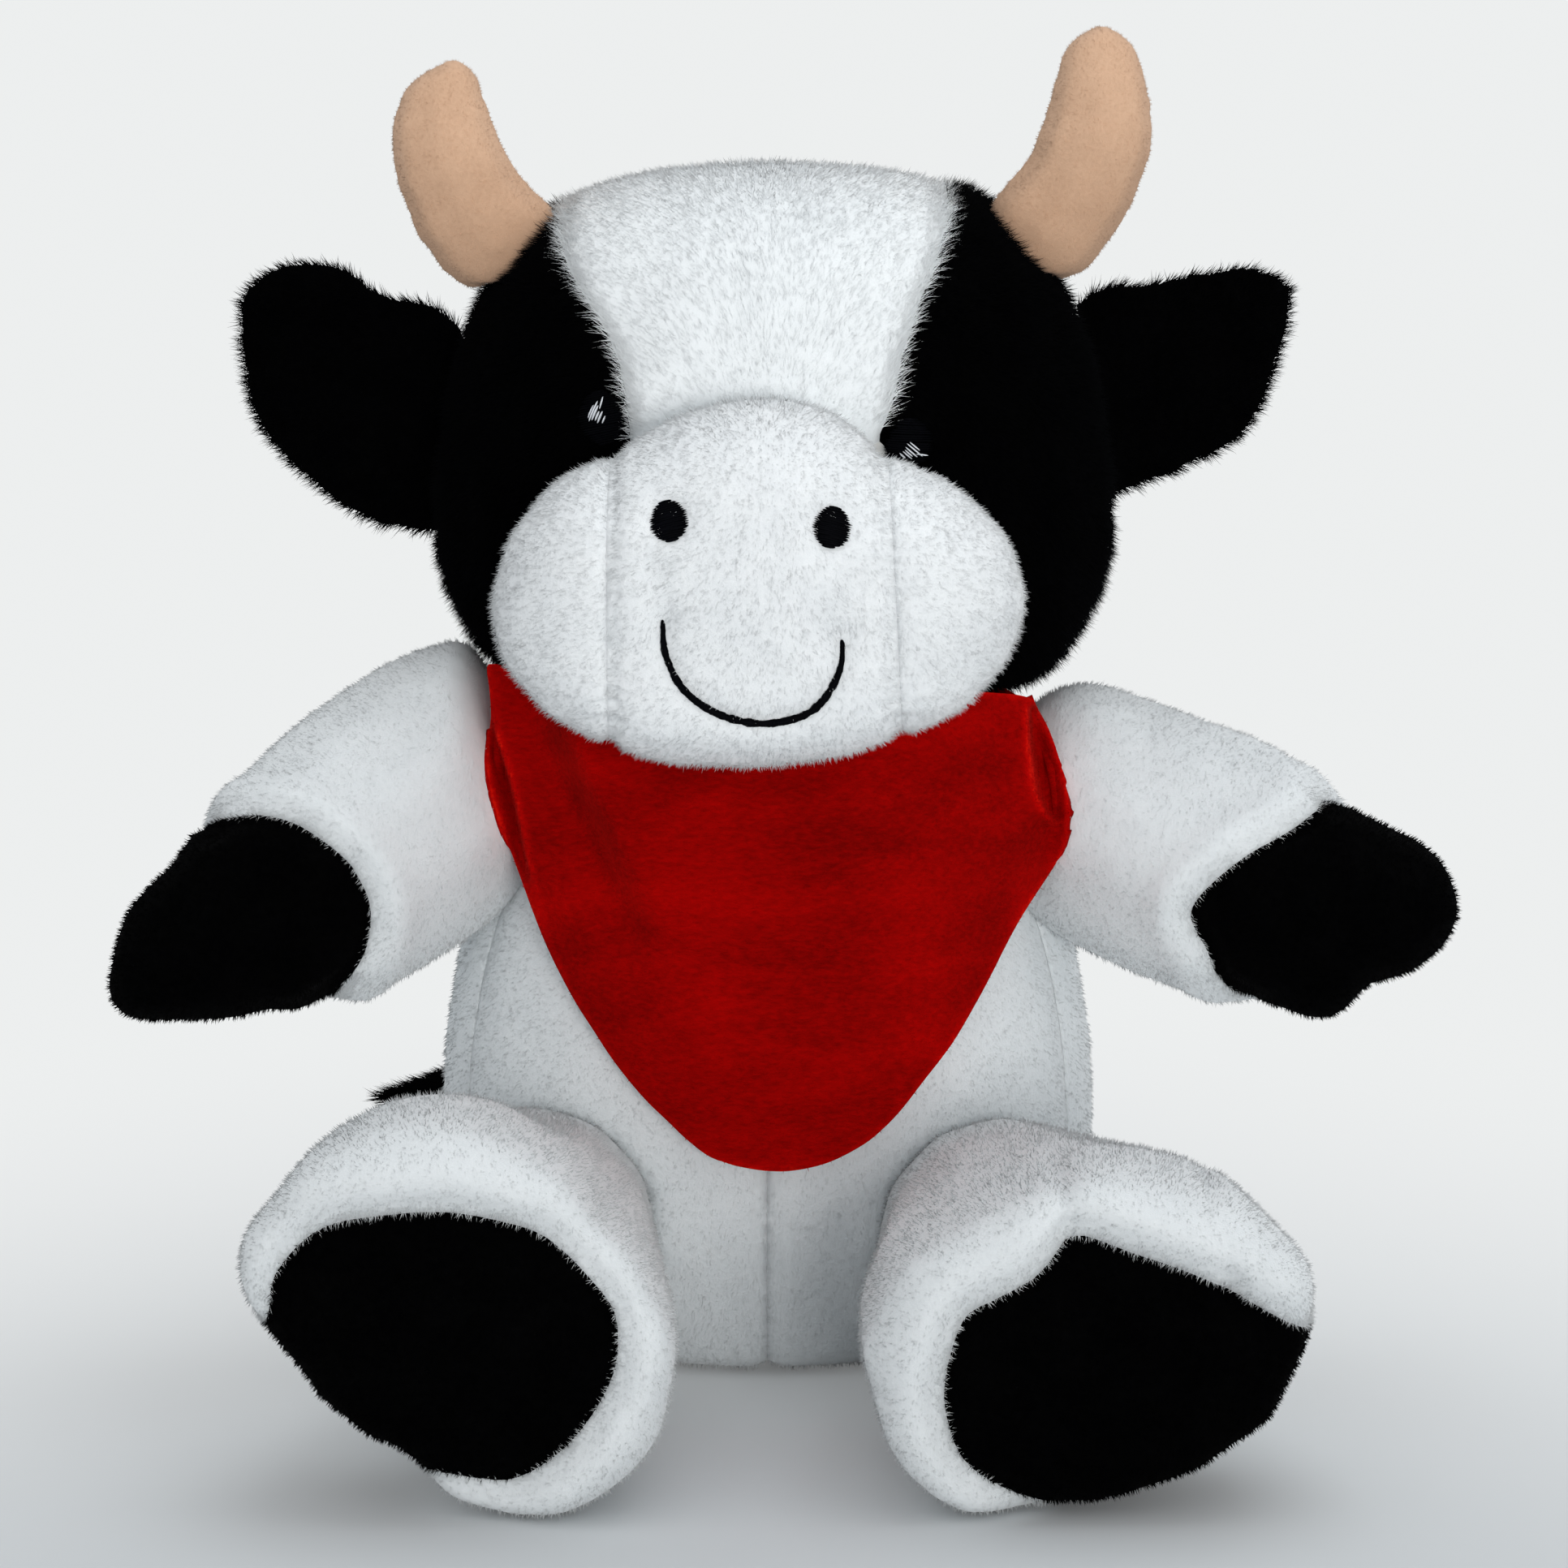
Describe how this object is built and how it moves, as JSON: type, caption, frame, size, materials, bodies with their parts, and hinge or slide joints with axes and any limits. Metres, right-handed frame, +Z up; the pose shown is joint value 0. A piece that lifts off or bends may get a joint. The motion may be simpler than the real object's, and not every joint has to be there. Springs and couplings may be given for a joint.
{
  "type": "plush cow",
  "caption": "Sitting stuffed cow with black and white plush, a big soft muzzle, small horns, side ears and a red bandana; head, limbs, ears, tail and bandana flap bend.",
  "frame": {"origin": "middle of the flat patch of the seat that the cow sits on", "axes": "+Z up, -Y the way the cow faces, +X its own left"},
  "size_m": [0.2262, 0.1833, 0.2282],
  "materials": {
    "white_plush": "soft pile",
    "white_minky": "very short combed pile",
    "black_plush": "long fur pile",
    "black_short_plush": "short fur pile",
    "peach_velour": "velour",
    "red_fleece": "matte fleece",
    "black_thread": "satin stitch",
    "white_thread": "satin stitch",
    "fibre_filling": "loose fibre",
    "pellet_bag": "woven bag"
  },
  "bodies": {
    "torso": {"belly_panel_left": "white_plush", "belly_panel_right": "white_plush", "body_back_panel": "white_plush", "seat_panel": "white_plush", "body_filling": "fibre_filling", "pellet_bag": "pellet_bag", "bandana_collar": "red_fleece", "bandana_knot": "red_fleece"},
    "neck_wad": {"neck_wad": "fibre_filling"},
    "head": {"face_blaze": "white_plush", "head_side_left": "black_plush", "head_side_right": "black_plush", "head_back_panel": "black_plush", "head_filling": "fibre_filling", "muzzle_centre_panel": "white_minky", "muzzle_cheek_left": "white_minky", "muzzle_cheek_right": "white_minky", "muzzle_filling": "fibre_filling", "eye_left": "black_thread", "eye_right": "black_thread", "eye_highlight_left": "white_thread", "eye_highlight_right": "white_thread", "nostril_left": "black_thread", "nostril_right": "black_thread", "smile": "black_thread"},
    "shoulder_wad_left": {"shoulder_wad_left": "fibre_filling"},
    "arm_left": {"arm_sleeve_left": "white_plush", "hoof_left": "black_short_plush", "arm_filling_left": "fibre_filling"},
    "hip_wad_left": {"hip_wad_left": "fibre_filling"},
    "leg_left": {"leg_sleeve_left": "white_plush", "sole_left": "black_short_plush", "leg_filling_left": "fibre_filling"},
    "ear_left": {"ear_front_left": "black_plush", "ear_back_left": "black_plush"},
    "horn_left": {"horn_sleeve_left": "peach_velour", "horn_filling_left": "fibre_filling"},
    "shoulder_wad_right": {"shoulder_wad_right": "fibre_filling"},
    "arm_right": {"arm_sleeve_right": "white_plush", "hoof_right": "black_short_plush", "arm_filling_right": "fibre_filling"},
    "hip_wad_right": {"hip_wad_right": "fibre_filling"},
    "leg_right": {"leg_sleeve_right": "white_plush", "sole_right": "black_short_plush", "leg_filling_right": "fibre_filling"},
    "ear_right": {"ear_front_right": "black_plush", "ear_back_right": "black_plush"},
    "horn_right": {"horn_sleeve_right": "peach_velour", "horn_filling_right": "fibre_filling"},
    "tail": {"tail_tube": "white_plush", "tail_tuft": "black_plush"},
    "flap": {"bandana_flap": "red_fleece"}
  },
  "joints": [
    {"name": "head_turn", "type": "hinge", "parent": "torso", "child": "neck_wad", "pos_m": [0, -0.004, 0.11094], "axis": [0, 0, 1], "range_deg": [-15, 15], "stiffness_Nm_per_rad": 0.3},
    {"name": "head_nod", "type": "hinge", "parent": "neck_wad", "child": "head", "pos_m": [0, -0.004, 0.11094], "axis": [1, 0, 0], "range_deg": [-8, 4], "stiffness_Nm_per_rad": 0.4},
    {"name": "arm_swing_left", "type": "hinge", "parent": "torso", "child": "shoulder_wad_left", "pos_m": [0.0545, -0.01, 0.0965], "axis": [0, 0, -1], "range_deg": [-15, 8], "stiffness_Nm_per_rad": 0.12},
    {"name": "arm_lift_left", "type": "hinge", "parent": "shoulder_wad_left", "child": "arm_left", "pos_m": [0.0545, -0.01, 0.0965], "axis": [0, -1, 0], "range_deg": [-2, 25], "stiffness_Nm_per_rad": 0.12},
    {"name": "leg_spread_left", "type": "hinge", "parent": "torso", "child": "hip_wad_left", "pos_m": [0.04, -0.04757, 0.026], "axis": [0, 0, 1], "range_deg": [-6, 12], "stiffness_Nm_per_rad": 0.12},
    {"name": "leg_lift_left", "type": "hinge", "parent": "hip_wad_left", "child": "leg_left", "pos_m": [0.04, -0.04757, 0.026], "axis": [-1, 0, 0], "range_deg": [-6, 20], "stiffness_Nm_per_rad": 0.12},
    {"name": "ear_fold_left", "type": "hinge", "parent": "head", "child": "ear_left", "pos_m": [0.05756, 0.002, 0.147], "axis": [-0.1345, 0, 0.9909], "range_deg": [-20, 20], "stiffness_Nm_per_rad": 0.02},
    {"name": "horn_bend_left", "type": "hinge", "parent": "head", "child": "horn_left", "pos_m": [0.04725, -0.008, 0.1935], "axis": [0, 1, 0], "range_deg": [-10, 10], "stiffness_Nm_per_rad": 0.03},
    {"name": "arm_swing_right", "type": "hinge", "parent": "torso", "child": "shoulder_wad_right", "pos_m": [-0.0545, -0.01, 0.098], "axis": [0, 0, 1], "range_deg": [-15, 8], "stiffness_Nm_per_rad": 0.12},
    {"name": "arm_lift_right", "type": "hinge", "parent": "shoulder_wad_right", "child": "arm_right", "pos_m": [-0.0545, -0.01, 0.098], "axis": [0, 1, 0], "range_deg": [-2, 25], "stiffness_Nm_per_rad": 0.12},
    {"name": "leg_spread_right", "type": "hinge", "parent": "torso", "child": "hip_wad_right", "pos_m": [-0.04, -0.04785, 0.028], "axis": [0, 0, -1], "range_deg": [-6, 12], "stiffness_Nm_per_rad": 0.12},
    {"name": "leg_lift_right", "type": "hinge", "parent": "hip_wad_right", "child": "leg_right", "pos_m": [-0.04, -0.04785, 0.028], "axis": [-1, 0, 0], "range_deg": [-6, 20], "stiffness_Nm_per_rad": 0.12},
    {"name": "ear_fold_right", "type": "hinge", "parent": "head", "child": "ear_right", "pos_m": [-0.05427, 0.002, 0.143], "axis": [-0.0576, 0, -0.9983], "range_deg": [-20, 20], "stiffness_Nm_per_rad": 0.02},
    {"name": "horn_bend_right", "type": "hinge", "parent": "head", "child": "horn_right", "pos_m": [-0.04595, -0.008, 0.19183], "axis": [0, -1, 0], "range_deg": [-10, 10], "stiffness_Nm_per_rad": 0.03},
    {"name": "tail_swing", "type": "hinge", "parent": "torso", "child": "tail", "pos_m": [-0.006, 0.04566, 0.024], "axis": [0, 0, -1], "range_deg": [0, 60], "stiffness_Nm_per_rad": 0.01},
    {"name": "flap_lift", "type": "hinge", "parent": "torso", "child": "flap", "pos_m": [0, -0.0514, 0.104], "axis": [-1, 0, 0], "range_deg": [0, 60]}
  ]
}
